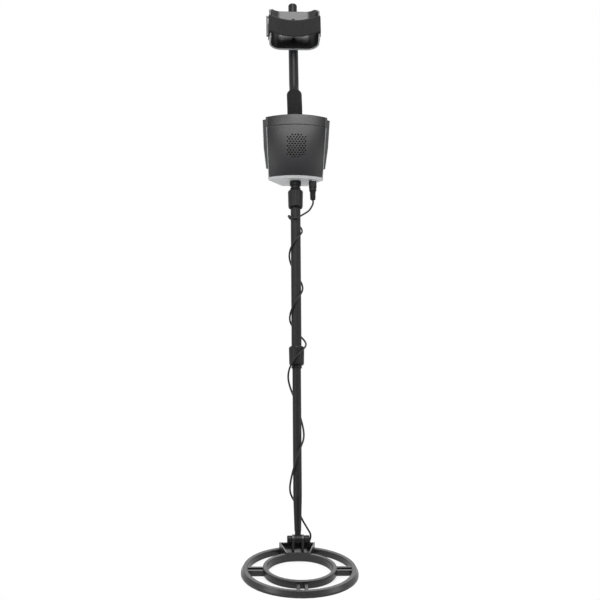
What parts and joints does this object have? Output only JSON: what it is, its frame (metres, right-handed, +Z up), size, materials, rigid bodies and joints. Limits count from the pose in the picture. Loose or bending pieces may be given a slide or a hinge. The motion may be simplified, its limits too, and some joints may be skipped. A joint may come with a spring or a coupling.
{
  "type": "metal detector",
  "caption": "Hand-held metal detector with an open double-ring search coil on a hinged yoke, a telescoping stem, a control box with a grille, a foam grip and an arm cup.",
  "frame": {"origin": "middle of the hand grip, on the axis of the handle tube", "axes": "+Z up with the coil flat on the ground, +Y towards the user, +X to the right seen from the front"},
  "size_m": [0.21, 0.7059, 0.9816],
  "materials": {
    "tube": "black satin coat on aluminium tube",
    "housing": "fine-grained moulding",
    "grey_plastic": "fine-grained moulding",
    "black_plastic": "moulded, satin",
    "coil_plastic": "moulded, satin",
    "foam": "closed-cell foam",
    "rubber": "matt",
    "webbing": "woven nylon webbing",
    "steel": "zinc plated",
    "chrome": "bright plated",
    "nylon": "natural nylon",
    "copper": "enamelled copper wire",
    "board": "glass-fibre laminate",
    "dial": "printed card",
    "needle": "red paint",
    "lens": "clear",
    "lamp": "clear red",
    "battery": "printed can",
    "panel": "anodised plate",
    "paper": "pressed paper"
  },
  "bodies": {
    "handle": {"handle_tube": "tube", "inner_tube": "tube", "tube_end_plug": "black_plastic", "foam_grip": "foam", "arm_cup": "black_plastic", "cup_bolts": "steel", "cup_nuts": "steel", "arm_strap": "webbing", "strap_loop": "black_plastic", "strap_rivets": "steel", "box_body": "grey_plastic", "front_housing": "housing", "rear_cover": "grey_plastic", "stem_collar": "black_plastic", "housing_screws": "steel", "panel_bezel": "housing", "control_panel": "panel", "panel_screws": "steel", "meter_case": "black_plastic", "meter_dial": "dial", "meter_window": "lens", "potentiometers": "steel", "toggle_switch": "chrome", "power_lamp": "lamp", "circuit_board": "board", "speaker_basket": "steel", "speaker_cone": "paper", "batteries": "battery", "battery_snaps": "black_plastic", "headphone_socket": "black_plastic", "coil_socket": "chrome", "coil_plug": "black_plastic", "plug_boot": "rubber", "lead_upper": "rubber"},
    "needle": {"meter_needle": "needle"},
    "left_knob": {"left_knob": "black_plastic"},
    "right_knob": {"right_knob": "black_plastic"},
    "toggle_lever": {"toggle_lever": "chrome"},
    "left_door": {"left_battery_door": "black_plastic"},
    "right_door": {"right_battery_door": "black_plastic"},
    "coupling_ring": {"coupling_ring": "black_plastic"},
    "middle_stem": {"middle_tube": "tube", "upper_collet": "black_plastic", "lower_collet": "black_plastic", "lead_middle": "rubber"},
    "upper_lock_nut": {"upper_lock_nut": "black_plastic"},
    "lower_lock_nut": {"lower_lock_nut": "black_plastic"},
    "lower_stem": {"lower_tube": "tube", "guide_bush": "nylon", "stem_tip": "black_plastic", "yoke_washers": "rubber", "lead_lower": "rubber"},
    "coil": {"coil_top": "coil_plastic", "coil_base": "coil_plastic", "transmit_winding": "copper", "receive_winding": "copper", "lead_gland": "rubber", "yoke_bolt": "black_plastic", "lead_tail": "rubber"},
    "yoke_nut": {"yoke_nut": "black_plastic"}
  },
  "joints": [
    {"name": "middle_slide", "type": "slide", "parent": "handle", "child": "middle_stem", "axis": [0, 0.4384, 0.8988], "range_m": [-0.06, 0.003], "deforming": ["lead_upper"]},
    {"name": "upper_lock_turn", "type": "hinge", "parent": "middle_stem", "child": "upper_lock_nut", "pos_m": [0, -0.08388, -0.16799], "axis": [0, 0.4384, 0.8988], "range_deg": [-150, 0]},
    {"name": "lower_lock_turn", "type": "hinge", "parent": "middle_stem", "child": "lower_lock_nut", "pos_m": [0, -0.21539, -0.43763], "axis": [0, 0.4384, 0.8988], "range_deg": [0, 150]},
    {"name": "lower_slide", "type": "slide", "parent": "middle_stem", "child": "lower_stem", "axis": [0, 0.4384, 0.8988], "range_m": [-0.02, 0.13], "deforming": ["lead_lower"]},
    {"name": "coil_tilt", "type": "hinge", "parent": "lower_stem", "child": "coil", "pos_m": [0, -0.36444, -0.74322], "axis": [1, 0, 0], "range_deg": [-110, 60], "deforming": ["lead_tail"]},
    {"name": "yoke_nut_turn", "type": "hinge", "parent": "coil", "child": "yoke_nut", "pos_m": [0, -0.36444, -0.74322], "axis": [1, 0, 0], "range_deg": [0, 360]},
    {"name": "left_knob_turn", "type": "hinge", "parent": "handle", "child": "left_knob", "pos_m": [-0.0332, -0.05857, -0.01567], "axis": [0, 0.4384, 0.8988], "range_deg": [-150, 150]},
    {"name": "right_knob_turn", "type": "hinge", "parent": "handle", "child": "right_knob", "pos_m": [0.0332, -0.05857, -0.01567], "axis": [0, 0.4384, 0.8988], "range_deg": [-150, 150]},
    {"name": "toggle_tilt", "type": "hinge", "parent": "handle", "child": "toggle_lever", "pos_m": [0, -0.04278, -0.0227], "axis": [0, 0.8988, -0.4384], "range_deg": [-12, 12]},
    {"name": "needle_swing", "type": "hinge", "parent": "handle", "child": "needle", "pos_m": [0, -0.05465, -0.02203], "axis": [0, 0.4384, 0.8988], "range_deg": [-40, 40], "stiffness_Nm_per_rad": 0.0001},
    {"name": "left_door_slide", "type": "slide", "parent": "handle", "child": "left_door", "axis": [0.0483, -0.0911, -0.9947], "range_m": [0, 0.012]},
    {"name": "right_door_slide", "type": "slide", "parent": "handle", "child": "right_door", "axis": [-0.0483, -0.0911, -0.9947], "range_m": [0, 0.012]},
    {"name": "coupling_turn", "type": "hinge", "parent": "handle", "child": "coupling_ring", "pos_m": [0.033, -0.07483, -0.13347], "axis": [0, 0.4384, 0.8988], "range_deg": [0, 360]}
  ]
}
